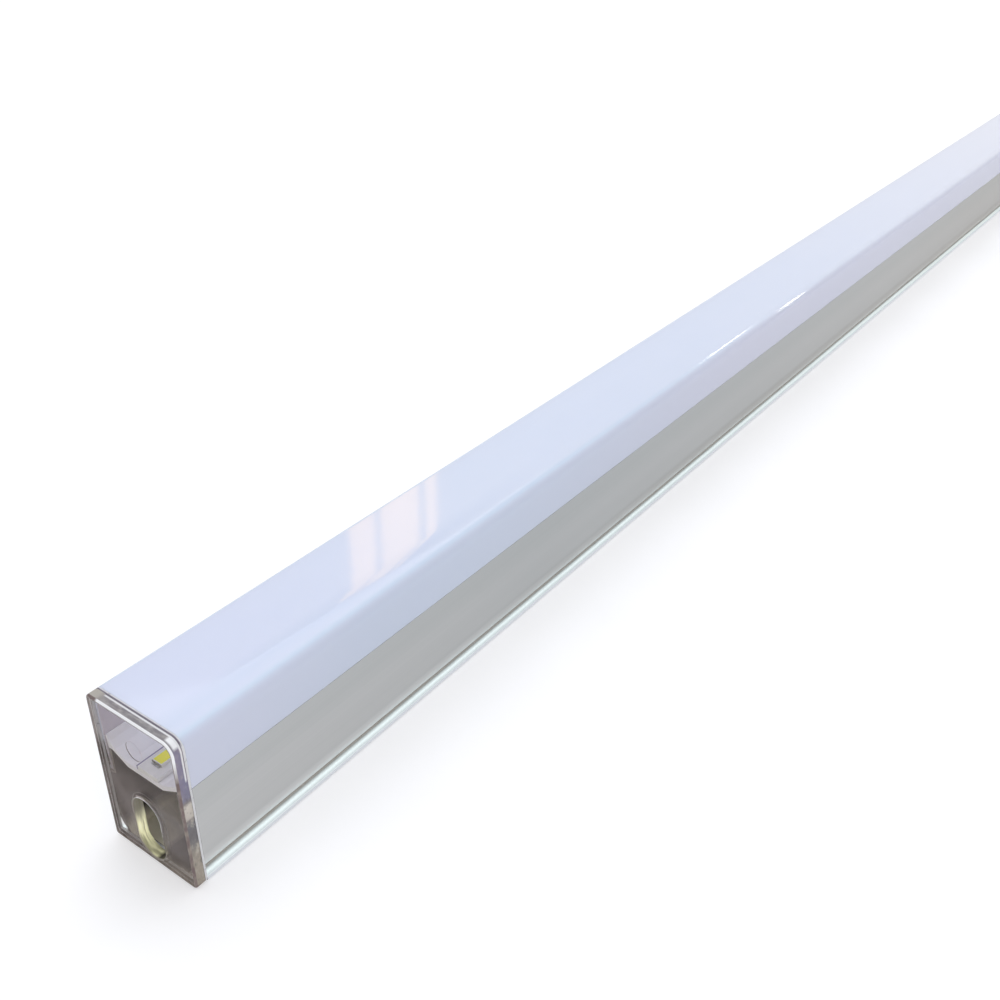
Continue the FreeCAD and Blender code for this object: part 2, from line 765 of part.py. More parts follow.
group("driver_bulk_capacitors", [
    capacitor_can(f"bulk_cap_{k}", f"bulk_can_{k}", -2.2, y, radius=4.4, height=13.6)
    for k, y in enumerate((88.0, 77.0))])
keep(capacitor_can("driver_output_capacitor", "output_can", -1.5, 26.0,
                   radius=5.0, height=12.0))

# ---------------------------------------------------------------- grommet
# Rubber: fills the far cap's slot, flange outside, round hole for the lead.
grommet = add("PartDesign::Body", "cable_grommet")
grommet_core = dim.cap_thick - dim.grommet_inset
lead_hole_radius = dim.lead_radius + dim.lead_clearance

sketch = new_sketch(grommet, "grommet_core_sketch")
obround(sketch, dim.slot_centre, dim.slot_width - 2.0 * dim.grommet_gap,
        dim.slot_height - 2.0 * dim.grommet_gap)
pad(grommet, "grommet_core", sketch, grommet_core)

sketch = new_sketch(grommet, "grommet_flange_sketch", offset=-grommet_core)
obround(sketch, dim.slot_centre, dim.slot_width + 2.0 * dim.grommet_flange,
        dim.slot_height + 2.0 * dim.grommet_flange)
pad(grommet, "grommet_flange_pad", sketch, dim.grommet_flange_thick)
round_edges(grommet, "grommet_soft_rim", dim.grommet_rim,
            level=(grommet_core + dim.grommet_flange_thick).value, reach=half_width.value)

sketch = new_sketch(grommet, "grommet_hole_sketch")
circle(sketch, 0, dim.slot_centre, lead_hole_radius)
pocket(grommet, "grommet_hole", sketch, dim.cap_thick + dim.grommet_flange_thick + 1.0)
bind(grommet, "Placement.Base.y",
     tube_end - dim.cap_thick + dim.grommet_inset + dim.grommet_gap)
keep(grommet)


# ---------------------------------------------------------------- supply lead
# The lead and the wires run on free curves in space, so they are swept shapes.
def sweep(points, radius):
    """Round solid along a smooth curve through the points."""
    spots = [Vector(*[value(coord) for coord in point]) for point in points]
    curve = Part.BSplineCurve()
    curve.interpolate(spots, InitialTangent=(spots[1] - spots[0]),
                      FinalTangent=(spots[-1] - spots[-2]))
    start = curve.value(curve.FirstParameter)
    tangent = curve.tangent(curve.FirstParameter)[0]
    ring = Part.Wire([Part.Circle(start, tangent, value(radius)).toShape()])
    shell = Part.BRepOffsetAPI.MakePipeShell(Part.Wire([curve.toShape()]))
    shell.setFrenetMode(False)
    shell.add(ring)
    if not shell.isReady():
        raise RuntimeError("sweep not ready")
    shell.build()
    shell.makeSolid()
    solid = shell.shape()
    if solid.Volume < 0:
        solid.reverse()
    return solid


def shape_node(label, shape):
    keep(add("Part::Feature", label)).Shape = shape


# The sheath leaves level with the slot's centre, sinks and then runs just above z = 0.
slot_z = dim.slot_centre.value
end_y = tube_end.value
rest_z = dim.lead_radius.value + 0.05
# x, y, z
lead_points = [
    (0, dim.lead_inside.value, slot_z),
    (0, end_y - 8, slot_z),
    (0, end_y + 6, slot_z),
    (0.3, end_y + 22, slot_z - 0.9),
    (1.6, end_y + 42, rest_z + 1.3),
    (4.6, end_y + 66, rest_z),
    (8.0, end_y + 95, rest_z),
    (9.4, end_y + 125, rest_z),
    (8.2, dim.lead_outside.value, rest_z),
]
shape_node("supply_lead_sheath", sweep(lead_points, dim.lead_radius))

lead_end = Vector(*lead_points[-1])
lead_direction = (lead_end - Vector(*lead_points[-2])).normalize()
lead_side = Vector(lead_direction.y, -lead_direction.x, 0).normalize()


def make_core(sign, terminal_x):
    """One core: its runs at both ends of the sheath, and its tinned bare tip."""
    start_x = sign * dim.core_offset.value
    start_y = dim.lead_inside.value - 0.2
    entry_z = seat_z.value + TERMINAL_ENTRY_Z
    inner = sweep([
        (start_x, start_y, slot_z),
        (start_x + 0.02 * sign, start_y - 3.0, slot_z),
        ((start_x + terminal_x) / 2.0, start_y - 9.0, (slot_z + entry_z) / 2.0),
        (terminal_x, dim.driver_far, entry_z),
        (terminal_x, dim.driver_near + 157.6, entry_z),
    ], dim.core_radius)

    # outside, the cores fan apart and droop: distance onward, sideways and down
    root = lead_end + lead_direction * 0.2 + lead_side * start_x
    fan = [root] + [
        root + lead_direction * onward + lead_side * (sign * sideways) - Vector(0, 0, down)
        for onward, sideways, down in ((6, 0.4, 0), (16, 2.6, 0.6), (26, 4.6, 1.4))]
    outer = sweep(fan, dim.core_radius)

    tip_direction = (fan[-1] - fan[-2]).normalize()
    tip_start = fan[-1] + tip_direction * 0.03
    tip = Part.makeCylinder(dim.core_radius.value * 0.62, 7.0, tip_start, tip_direction)
    free_rim = [edge for edge in tip.Edges
                if full_circle(edge) and (edge.CenterOfMass - tip_start).Length > 5.0]
    return Part.makeCompound([inner, outer]), tip.makeFillet(0.25, free_rim)


line_core, line_tip = make_core(1.0, TERMINAL_LINE_X)
neutral_core, neutral_tip = make_core(-1.0, TERMINAL_NEUTRAL_X)
shape_node("lead_core_line", line_core)
shape_node("lead_core_neutral", neutral_core)
shape_node("lead_core_tips", Part.makeCompound([line_tip, neutral_tip]))

# strain relief tie: a band round the sheath just inside the far cap, with its head on top
lead_top = dim.slot_centre + dim.lead_radius
tie_head_near = tube_end - 12.9
tie_bore = rod("tie_bore", 0, tube_end - 13.0, dim.slot_centre,
               lead_hole_radius, dim.tie_width + 1.0, axis="Y")
tie_band = rod("tie_band", 0, tube_end - 12.5, dim.slot_centre,
               lead_hole_radius + dim.tie_thick, dim.tie_width, axis="Y")
tie_head = box("tie_head", (-2.1, 2.1), (tie_head_near, tie_head_near + 3.4),
               (lead_top + 0.4, lead_top + 3.2))
keep(cut("strain_relief_tie", fused("tie_solid", [tie_band, tie_head]), tie_bore))


# ---------------------------------------------------------------- output wires
def output_wire(label, start_x, end_x):
    """Wire from the driver, round the tray's far end, on to the far LED board."""
    near, tray_end = dim.driver_near, dim.tray_far
    low_z = seat_z + dim.wire_radius
    shape_node(label, sweep([
        (start_x, near + 146.0, low_z + 0.2),
        (start_x, near + 153.0, low_z + 0.22),
        (start_x, near + 161.0, low_z + 0.4),
        (start_x, near + 172.0, low_z + 1.4),
        (start_x, tray_end + 2.2, 10.5),
        (start_x + (end_x - start_x) * 0.4, tray_end + 3.6, 17.0),
        (end_x, tray_end + 3.2, 23.2),
        (end_x, tray_end + 1.0, board_top + 2.4),
        (end_x, tray_end - 1.4, board_top + 1.9),
        (end_x, tray_end - 3.3, board_top + dim.wire_radius + 0.12),
    ], dim.wire_radius))


output_wire("output_wire_positive", start_x=6.0, end_x=2.6)
output_wire("output_wire_negative", start_x=4.1, end_x=-0.6)

# ---------------------------------------------------------------- checks and export
doc.recompute()
for obj in doc.Objects:
    state = [str(flag) for flag in obj.State]
    if "Invalid" in state or "Error" in state:
        raise RuntimeError(f"{obj.Name} failed: {state}")
for node in nodes:
    shape = node.Shape
    if shape.isNull() or not shape.isValid():
        raise RuntimeError(f"{node.Label} has no valid shape")
    if not shape.Solids or shape.Volume <= 0:
        raise RuntimeError(f"{node.Label} holds no solid")

os.makedirs("parts", exist_ok=True)
for node in nodes:
    node.Shape.exportStep(f"parts/{node.Label}.step")
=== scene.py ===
"""Linear LED batten lamp: looks, floor, lights and camera.

The lamp lies on the floor along y, centred on the origin, with its ends at y = -0.6 and +0.6 m.
x runs across it and z is up. The camera looks down on the end at -y ("near") from the +x side.
An aluminium profile carries a milky cover; clear caps with an obround slot close both ends.
"""

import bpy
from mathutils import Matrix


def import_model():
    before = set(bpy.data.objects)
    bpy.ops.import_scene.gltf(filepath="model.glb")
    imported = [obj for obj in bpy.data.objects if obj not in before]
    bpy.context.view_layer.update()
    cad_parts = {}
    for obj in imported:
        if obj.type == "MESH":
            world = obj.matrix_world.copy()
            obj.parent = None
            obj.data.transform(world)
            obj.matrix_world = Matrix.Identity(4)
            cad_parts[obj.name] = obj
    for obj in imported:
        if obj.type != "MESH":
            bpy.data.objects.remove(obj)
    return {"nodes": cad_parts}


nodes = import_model()["nodes"]

import math
from collections import namedtuple

import bpy
from mathutils import Matrix, Vector

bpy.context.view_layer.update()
scene = bpy.context.scene
scene.view_settings.view_transform = "Standard"
scene.view_settings.look = "None"
scene.view_settings.exposure = 0.0
scene.view_settings.gamma = 1.0

MM = 0.001            # metres in a millimetre
TO_MM = 1000.0        # millimetres in a metre
HALF_LENGTH = 0.6     # of the lamp, m

# end cap, mm
CAP_HALF_WIDTH = 12.5
CAP_HEIGHT = 38.3
SLOT_CENTRE = 9.05          # height of the slot's middle
SLOT_HALF_STRAIGHT = 3.9    # half the straight part of the slot's sides
SLOT_RADIUS = 4.05


# ------------------------------------------------------------------ node helpers
class Field:
    """A shader node's output. Arithmetic and methods on it add further nodes."""

    def __init__(self, graph, socket):
        self.graph = graph
        self.socket = socket

    def __add__(self, other):
        return self.graph.math("ADD", self, other)

    def __radd__(self, other):
        return self.graph.math("ADD", other, self)

    def __sub__(self, other):
        return self.graph.math("SUBTRACT", self, other)

    def __rsub__(self, other):
        return self.graph.math("SUBTRACT", other, self)

    def __mul__(self, other):
        return self.graph.math("MULTIPLY", self, other)

    def __truediv__(self, other):
        return self.graph.math("DIVIDE", self, other)

    def __abs__(self):
        return self.graph.math("ABSOLUTE", self)

    def sqrt(self):
        return self.graph.math("SQRT", self)

    def above(self, threshold):
        return self.graph.math("GREATER_THAN", self, threshold)

    def remap(self, start, end, to):
        """Carry start..end to the pair `to`, clamped."""
        return self.graph.add("ShaderNodeMapRange", {
            "Value": self, "From Min": start, "From Max": end, "To Min": to[0], "To Max": to[1],
        }, clamp=True, output="Result")

    def rise(self, start, end):
        """0 before start, 1 after end."""
        return self.remap(start, end, to=(0.0, 1.0))

    def fall(self, start, end):
        """1 before start, 0 after end."""
        return self.remap(start, end, to=(1.0, 0.0))

    def band(self, start, end, soft):
        """1 between start and end, fading over soft to either side of each."""
        return self.rise(start - soft, start + soft) * self.fall(end - soft, end + soft)

    def vary(self, low, high):
        """Spread the middle range of a texture over low..high."""
        return self.remap(0.3, 0.7, to=(low, high))

    def blend(self, at_zero, at_one, mode="MIX"):
        """Colour running from one value to the other with this field as the share."""
        return self.graph.add("ShaderNodeMix", {0: self, 6: at_zero, 7: at_one}, output=2,
                              data_type="RGBA", blend_type=mode)

    def mottle(self, first, second):
        """Two colours spread by a texture."""
        return self.vary(0.0, 1.0).blend(first, second)

    def layered(self, *layers, mode="MIX"):
        """This colour under (mask, colour) layers, lowest first."""
        colour = self
        for mask, layer in layers:
            colour = mask.blend(colour, layer, mode)
        return colour

    def ramp(self, stops):
        """Colour ramp through (position, colour) stops."""
        ramp = self.graph.add("ShaderNodeValToRGB", {"Fac": self}, output="Color")
        elements = ramp.socket.node.color_ramp.elements
        while len(elements) > 1:
            elements.remove(elements[-1])
        elements[0].position = stops[0][0]
        elements[0].color = (*stops[0][1], 1.0)
        for position, colour in stops[1:]:
            elements.new(position).color = (*colour, 1.0)
        return ramp

    def bump(self, depth, strength=1.0, over=None):
        """Normal bumped by this height, depth in mm, on top of another normal."""
        inputs = {"Strength": strength, "Distance": depth * MM, "Height": self}
        if over is not None:
            inputs["Normal"] = over
        return self.graph.add("ShaderNodeBump", inputs)


def fold(operation, values):
    graph = next(value.graph for value in values if isinstance(value, Field))
    result = values[0]
    for value in values[1:]:
        result = graph.math(operation, result, value)
    return result


def maximum(*values):
    return fold("MAXIMUM", values)


def minimum(*values):
    return fold("MINIMUM", values)


class NodeMaterial:
    """A node material under construction; texture scales are per metre of object space."""

    def __init__(self, name):
        self.material = bpy.data.materials.new(name)
        self.material.use_nodes = True
        self.tree = self.material.node_tree
        self.tree.nodes.clear()
        self.output = self.tree.nodes.new("ShaderNodeOutputMaterial")
        self.coordinates = self.add("ShaderNodeTexCoord", output="Object")

    def put(self, socket, value):
        """Link a field to the socket, or store a plain value in it."""
        if isinstance(value, Field):
            self.tree.links.new(value.socket, socket)
        elif socket.type == "RGBA":
            socket.default_value = (*value, 1.0)
        else:
            socket.default_value = value

    def add(self, kind, inputs=None, output=0, **settings):
        """Add a node and return one of its outputs."""
        node = self.tree.nodes.new(kind)
        for name, value in settings.items():
            setattr(node, name, value)
        for key, value in (inputs or {}).items():
            self.put(node.inputs[key], value)
        return Field(self, node.outputs[output])

    def math(self, operation, *operands):
        return self.add("ShaderNodeMath", dict(enumerate(operands)), operation=operation)

    def split(self, vector):
        first = self.add("ShaderNodeSeparateXYZ", {0: vector})
        return [Field(self, socket) for socket in first.socket.node.outputs]

    def position(self):
        """Object x, y and z in metres."""
        return self.split(self.coordinates)

    def normal(self):
        return self.split(self.add("ShaderNodeNewGeometry", output="Normal"))

    def mapping(self, scale, offset):
        if not isinstance(scale, tuple):
            scale = (scale,) * 3
        return self.add("ShaderNodeMapping",
                        {"Scale": scale, "Location": offset, "Vector": self.coordinates})

    def noise(self, scale, detail=3.0, rough=0.5, offset=(0, 0, 0)):
        return self.add("ShaderNodeTexNoise", {
            "Scale": 1.0, "Detail": detail, "Roughness": rough,
            "Vector": self.mapping(scale, offset)}, output="Fac")

    def voronoi(self, scale, feature="F1", offset=(0, 0, 0)):
        return self.add("ShaderNodeTexVoronoi",
                        {"Scale": 1.0, "Vector": self.mapping(scale, offset)},
                        output="Distance", feature=feature)

    def wave(self, scale, direction, distortion=0.0, offset=(0, 0, 0)):
        return self.add("ShaderNodeTexWave", {
            "Scale": 1.0, "Distortion": distortion, "Vector": self.mapping(scale, offset),
        }, output="Fac", wave_type="BANDS", bands_direction=direction)

    def principled(self, **inputs):
        """Principled shader; underscores in the names stand for spaces."""
        return self.add("ShaderNodeBsdfPrincipled",
                        {name.replace("_", " "): value for name, value in inputs.items()})

    def mix_shaders(self, share, first, second):
        return self.add("ShaderNodeMixShader", {0: share, 1: first, 2: second})

    def finish(self, shader, shadow_pass=None, shadow_tint=(1, 1, 1)):
        """Connect the shader; shadow_pass is the share of light that shadow rays let through."""
        if shadow_pass is not None:
            shadow_ray = self.add("ShaderNodeLightPath", output="Is Shadow Ray")
            clear = self.add("ShaderNodeBsdfTransparent", {"Color": shadow_tint})
            shader = self.mix_shaders(shadow_ray * shadow_pass, shader, clear)
        self.put(self.output.inputs["Surface"], shader)
        return self.material


def depth_behind_end(y):
    """Depth in mm behind the outer face of the nearer end."""
    return HALF_LENGTH * TO_MM - abs(y) * TO_MM


# ------------------------------------------------------------------ shared kinds of material
def plastic(name, colour, rough=0.35, grain=900.0, depth=0.02, coat=0.0, speck=None,
            subsurface=0.0, edge=None, stretch=(1, 1, 1)):
    """Moulded or coated surface: fine grain, uneven gloss, slight drift, other-coloured edges."""
    drift = 0.04          # colour change either way
    broad_scale = 60.0
    mat = NodeMaterial(name)
    fine = mat.noise(scale=tuple(grain * part for part in stretch), detail=4.0, rough=0.6)
    broad = mat.noise(scale=tuple(broad_scale * part for part in stretch), detail=2.0,
                      offset=(3.1, 1.7, 0.4))
    base = broad.mottle(tuple(part * (1 - drift) for part in colour),
                        tuple(part * (1 + drift) for part in colour))
    if edge is not None:
        corner = mat.add("ShaderNodeNewGeometry", output="Pointiness").rise(0.52, 0.60)
        base = base.layered((corner * fine.remap(0.35, 0.6, to=(0.2, 1.0)), edge))
    if speck is not None:
        base = base.layered((mat.voronoi(scale=grain * 0.35).remap(0.0, 0.09, to=(0.7, 0.0)), speck))
    scatter = {}
    if subsurface:
        scatter = {"Subsurface_Radius": (1.0, 1.0, 1.0), "Subsurface_Scale": 0.0008}
    return mat.finish(mat.principled(
        Base_Color=base, Roughness=fine.vary(rough * 0.82, rough * 1.2),
        Normal=fine.bump(depth=depth), IOR=1.5, Coat_Weight=coat, Coat_Roughness=0.08,
        Subsurface_Weight=subsurface, **scatter))


def bare_metal(name, scale, detail, colours, rough, depth, strength):
    mat = NodeMaterial(name)
    grit = mat.noise(scale=scale, detail=detail)
    return mat.finish(mat.principled(
        Base_Color=grit.mottle(*colours), Metallic=1.0, Roughness=grit.vary(*rough),
        Normal=grit.bump(depth=depth, strength=strength)))


def cable(name, colour, rough=0.45):
    """Matte insulation with lengthwise ripples and darker smears."""
    mat = NodeMaterial(name)
    matte = mat.noise(scale=1800.0)
    wrap = mat.noise(scale=(500.0, 60.0, 500.0), detail=2.0, offset=(0.2, 0.4, 0.1))
    smear = mat.noise(scale=80.0, detail=4.0, rough=0.65, offset=(9.0, 2.0, 4.0))
    smeared = tuple(part * 0.82 for part in colour)
    matte_normal = matte.bump(depth=0.008, strength=0.5)
    return mat.finish(mat.principled(
        Base_Color=smear.remap(0.45, 0.75, to=(0.0, 0.5)).blend(colour, smeared),
        Roughness=matte.vary(rough * 0.85, rough * 1.15),
        Normal=wrap.bump(depth=0.06, strength=0.35, over=matte_normal)))


def scuffed_moulding(mat):
    """Scuff texture of a clear moulding, and its normal with soft sinks."""
    scuff = mat.noise(scale=700.0, detail=5.0, rough=0.7)
    sink = mat.noise(scale=120.0, detail=1.0, offset=(2.0, 0.0, 5.0))
    sunk = sink.bump(depth=0.05, strength=0.25)
    return scuff, scuff.bump(depth=0.0008, strength=0.2, over=sunk)


# ------------------------------------------------------------------ profile
def profile_colour(mat, tone, blot, along, off_centre, height):
    """Satin skin with painted shade along the lamp and by height, and painted light on the curled
    wall; bounds in mm, `along` in m.
    """
    base = tone.rise(0.35, 0.65).blend((0.475, 0.478, 0.474), (0.515, 0.518, 0.512))
    curl = height.fall(3.0, 7.6) * height.rise(1.2, 1.4)     # wall curling in above the foot
    # painted light: the curled wall above the foot is made lighter
    base = base.layered(
        (blot.remap(0.45, 0.75, to=(0.0, 0.20)), (0.500, 0.504, 0.500)),
        (curl, tone.rise(0.35, 0.65).blend((0.74, 0.75, 0.74), (0.80, 0.81, 0.80))))
    # painted shade and light: the colour darkens along the lamp away from the -y end and turns
    # warmer, and the upper wall and the curl's middle are darker
    upper_wall = (mat.position()[2] * TO_MM).rise(16.0, 21.5)
    curl_shade = height.band(3.6, 7.6, soft=1.4) * along.rise(-0.54, -0.36)
    return base.layered(
        (along.rise(-0.60, -0.48), (0.875, 0.893, 0.900)),
        (along.rise(-0.45, -0.10), (1.0, 0.965, 0.925)),
        (upper_wall, (0.93, 0.94, 0.94)),
        (curl_shade, (0.80, 0.785, 0.765)),
        (along.rise(-0.22, 0.06), (0.90, 0.89, 0.875)), mode="MULTIPLY")


def satin_anodised_aluminium():
    mat = NodeMaterial("satin_anodised_aluminium")
    streak = mat.noise(scale=(2600.0, 5.0, 2600.0), rough=0.65)
    wide = mat.noise(scale=(420.0, 1.6, 420.0), detail=2.0, offset=(1.3, 0.2, 4.0))
    blot = mat.noise(scale=(55.0, 22.0, 55.0), offset=(8.0, 2.0, 1.0))
    grain = mat.noise(scale=5200.0, detail=2.0, rough=0.7)
    cut = mat.noise(scale=(900.0, 900.0, 60.0), offset=(0.4, 0.0, 2.0))
    tone = streak * 0.6 + wide * 0.4
    along = mat.position()[1]
    x, y, z = mat.position()
    across, height, depth = x * TO_MM, z * TO_MM, depth_behind_end(y)
    off_centre = abs(across)

    # the foot's ledge and its outer lip: a painted highlight on the ledge's top, painted light on the
    # lip, and painted groove shade where the curled wall meets the foot
    foot = height.fall(1.14, 1.22)
    lip = foot * height.fall(0.95, 1.08)
    ledge_highlight = ((foot - lip) * off_centre.rise(10.35, 11.2)
             * off_centre.remap(11.6, 12.1, to=(1.0, 0.50)))
    groove_shade = (0.60, 0.58, 0.54)
    base = profile_colour(mat, tone, blot, along, off_centre, height).layered(
        (height.fall(1.9, 2.3) * off_centre.rise(9.7, 9.9), groove_shade),
        (foot, (0.50, 0.52, 0.52)),
        (ledge_highlight, (0.86, 0.93, 0.94)),
        (foot * off_centre.fall(10.05, 10.4), groove_shade),
        (lip, (0.64, 0.665, 0.70)))

    # painted shade on the inside of the extrusion, lighter where painted light falls behind the slot;
    # its limit follows the curled wall out to the straight one
    limit = minimum(12.1, 9.4 + (height - 1.3) * 0.667)
    inside = (limit - off_centre).rise(-0.05, 0.05) * height.rise(1.13, 1.17) * depth.rise(3.01, 3.03)
    lit_behind_slot = depth.fall(14.0, 22.0) * across.fall(-0.5, 1.0) * height.fall(1.8, 4.0)
    inside_shade = blot.rise(0.35, 0.7).blend((0.085, 0.072, 0.064), (0.125, 0.108, 0.096))
    inside_shade = inside_shade.layered((lit_behind_slot, (0.80, 0.76, 0.62)))
    sawn = depth.fall(3.005, 3.02)       # cut ends of the extrusion
    base = base.layered(
        (inside, inside_shade),
        (sawn, cut.blend((0.20, 0.175, 0.155), (0.34, 0.31, 0.28))))

    streak_normal = streak.bump(depth=0.006, strength=0.5)
    return mat.finish(mat.principled(
        Base_Color=base,
        Roughness=tone.vary(0.34, 0.44) + maximum(inside, sawn) * 0.25,
        Metallic=1.0 - maximum(inside, foot) * 0.75,
        Normal=grain.bump(depth=0.003, strength=0.4, over=streak_normal),
        # painted glow on the ledge's highlight
        Anisotropic=0.35, Emission_Color=(0.86, 1.0, 1.0), Emission_Strength=ledge_highlight * 0.36,
        Tangent=mat.add("ShaderNodeTangent", direction_type="RADIAL", axis="Y")))


# ------------------------------------------------------------------ cover
def cover_colour(mat, across, height):
    """Milky blue-white, with painted light and shade that change with the way the surface faces and
    along the lamp.
    """
    cloud = mat.noise(scale=(70.0, 30.0, 70.0), offset=(5.0, 3.0, 1.0))
    speck = mat.voronoi(scale=650.0, offset=(0.3, 0.9, 0.2))
    facing_x = mat.normal()[0]
    near_end = mat.position()[1].fall(-0.585, -0.50)
    along = mat.position()[1]
    # painted light and shade: a bluish highlight on the rounded corners near the -y end, then the
    # upright flanks darker and cooler
    corner = abs(facing_x).rise(0.05, 0.4) * abs(facing_x).fall(0.55, 0.95)
    corner = corner * along.remap(-0.48, -0.36, to=(1.0, 0.25))
    flank = abs(facing_x).rise(0.5, 1.0)
    cool = (flank * along.remap(-0.60, -0.545, to=(0.35, 1.0))
            * along.remap(-0.46, -0.38, to=(1.0, 0.70)))
    cool_colour = along.rise(-0.50, -0.36).blend((0.530, 0.610, 0.720), (0.545, 0.578, 0.688))
    # painted shade on the right part of the top near the -y end and on the inside faces, and painted
    # light on the paler far part
    calm = across.band(5.6, 9.4, soft=2.2) * height.rise(37.6, 38.0) * along.fall(-0.54, -0.46)
    inner = abs(across).fall(11.2, 11.3) * height.fall(36.8, 36.88)
    pale = along.rise(-0.40, -0.02) * (1.0 - inner) * (1.0 - flank)
    # painted shade: the tint also changes towards the -y end; the specks are the cover's own
    return cloud.mottle((0.712, 0.770, 0.876), (0.732, 0.785, 0.886)).layered(
        (near_end * 0.85, (0.705, 0.745, 0.872)),
        (corner, (0.640, 0.745, 0.860)),
        (flank, cloud.mottle((0.612, 0.630, 0.735), (0.632, 0.648, 0.750))),
        (cool * 0.85, cool_colour),
        (calm, (0.645, 0.712, 0.835)),
        (inner, (0.60, 0.54, 0.585)),
        (pale * 0.85, (0.88, 0.89, 0.935)),
        (speck.remap(0.0, 0.035, to=(0.25, 0.0)), (0.62, 0.66, 0.74)))


def milky_gloss_cover():
    mat = NodeMaterial("milky_gloss_cover")
    wave = mat.noise(scale=(90.0, 9.0, 90.0), detail=2.0)
    draw = mat.noise(scale=(1500.0, 4.0, 1500.0), detail=2.0, rough=0.6, offset=(0.7, 0.1, 2.0))
    x, _, z = mat.position()
    across, height = x * TO_MM, z * TO_MM
    # the right side of the top falls away as a parabola, 4.3 mm wide
    over = minimum(maximum(across - 5.4, 0.0), 4.3)
    normal = (over * over * -0.0075).bump(depth=1.0)
    normal = wave.bump(depth=0.05, strength=0.25, over=normal)
    normal = draw.bump(depth=0.0012, strength=0.3, over=normal)
    body = mat.principled(
        Base_Color=cover_colour(mat, across, height), Roughness=draw.vary(0.045, 0.065),
        Normal=normal, IOR=1.49, Subsurface_Weight=0.35,
        Subsurface_Radius=(1.0, 1.0, 1.0), Subsurface_Scale=0.0012)
    translucent = mat.add("ShaderNodeBsdfTranslucent", {"Color": (0.90, 0.90, 0.96)})
    return mat.finish(mat.mix_shaders(0.22, body, translucent),
                      shadow_pass=0.84, shadow_tint=(0.96, 0.955, 1.0))


# ------------------------------------------------------------------ end cap
# mm: x, its size, height above the floor and depth behind the outer face
Place = namedtuple("Place", "across off_centre height depth")

# painted light and shade seen through the cap's right side wall, by height / CAP_HEIGHT
RIGHT_WALL = [
    (0.0, (0.30, 0.26, 0.20)), (0.20, (0.33, 0.29, 0.235)), (0.27, (0.20, 0.18, 0.155)),
    (0.33, (0.10, 0.10, 0.11)), (0.45, (0.105, 0.105, 0.12)), (0.485, (0.17, 0.15, 0.145)),
    (0.50, (0.50, 0.46, 0.40)), (0.585, (0.58, 0.54, 0.47)), (0.605, (0.20, 0.18, 0.18)),
    (0.63, (0.155, 0.155, 0.24)), (0.72, (0.165, 0.160, 0.265)), (0.95, (0.215, 0.195, 0.285)),
    (1.0, (0.26, 0.24, 0.25))]
# painted glow and shade on the slot wall, by height / GLOW_HEIGHT
GLOW_HEIGHT = 18.0
SLOT_WALL_GLOW = [
    (0.0, (0.40, 0.38, 0.24)), (0.12, (0.60, 0.59, 0.36)), (0.34, (0.76, 0.75, 0.52)),
    (0.50, (0.50, 0.48, 0.38)), (0.68, (0.36, 0.34, 0.29)), (1.0, (0.30, 0.275, 0.25))]


def cap_rim(place, right):
    """Distance outside the cap's outline in mm, negative within it."""
    # corner radii: 0.8 below, 1.1 upper left, 2.8 upper right
    radius = 0.8 + place.height.rise(19.1, 19.2) * (0.3 + right * 1.7)
    middle = CAP_HEIGHT / 2
    side = place.off_centre - CAP_HALF_WIDTH + radius
    rise = abs(place.height - middle) - middle + radius
    side_out, rise_out = maximum(side, 0.0), maximum(rise, 0.0)
    outside = (side_out * side_out + rise_out * rise_out).sqrt()
    return outside + minimum(maximum(side, rise), 0.0) - radius


def slot_ring(place):
    """Distance outside the slot's obround wall in mm."""
    beyond = maximum(abs(place.height - SLOT_CENTRE) - SLOT_HALF_STRAIGHT, 0.0)
    off_centre = place.off_centre
    return (off_centre * off_centre + beyond * beyond).sqrt() - SLOT_RADIUS


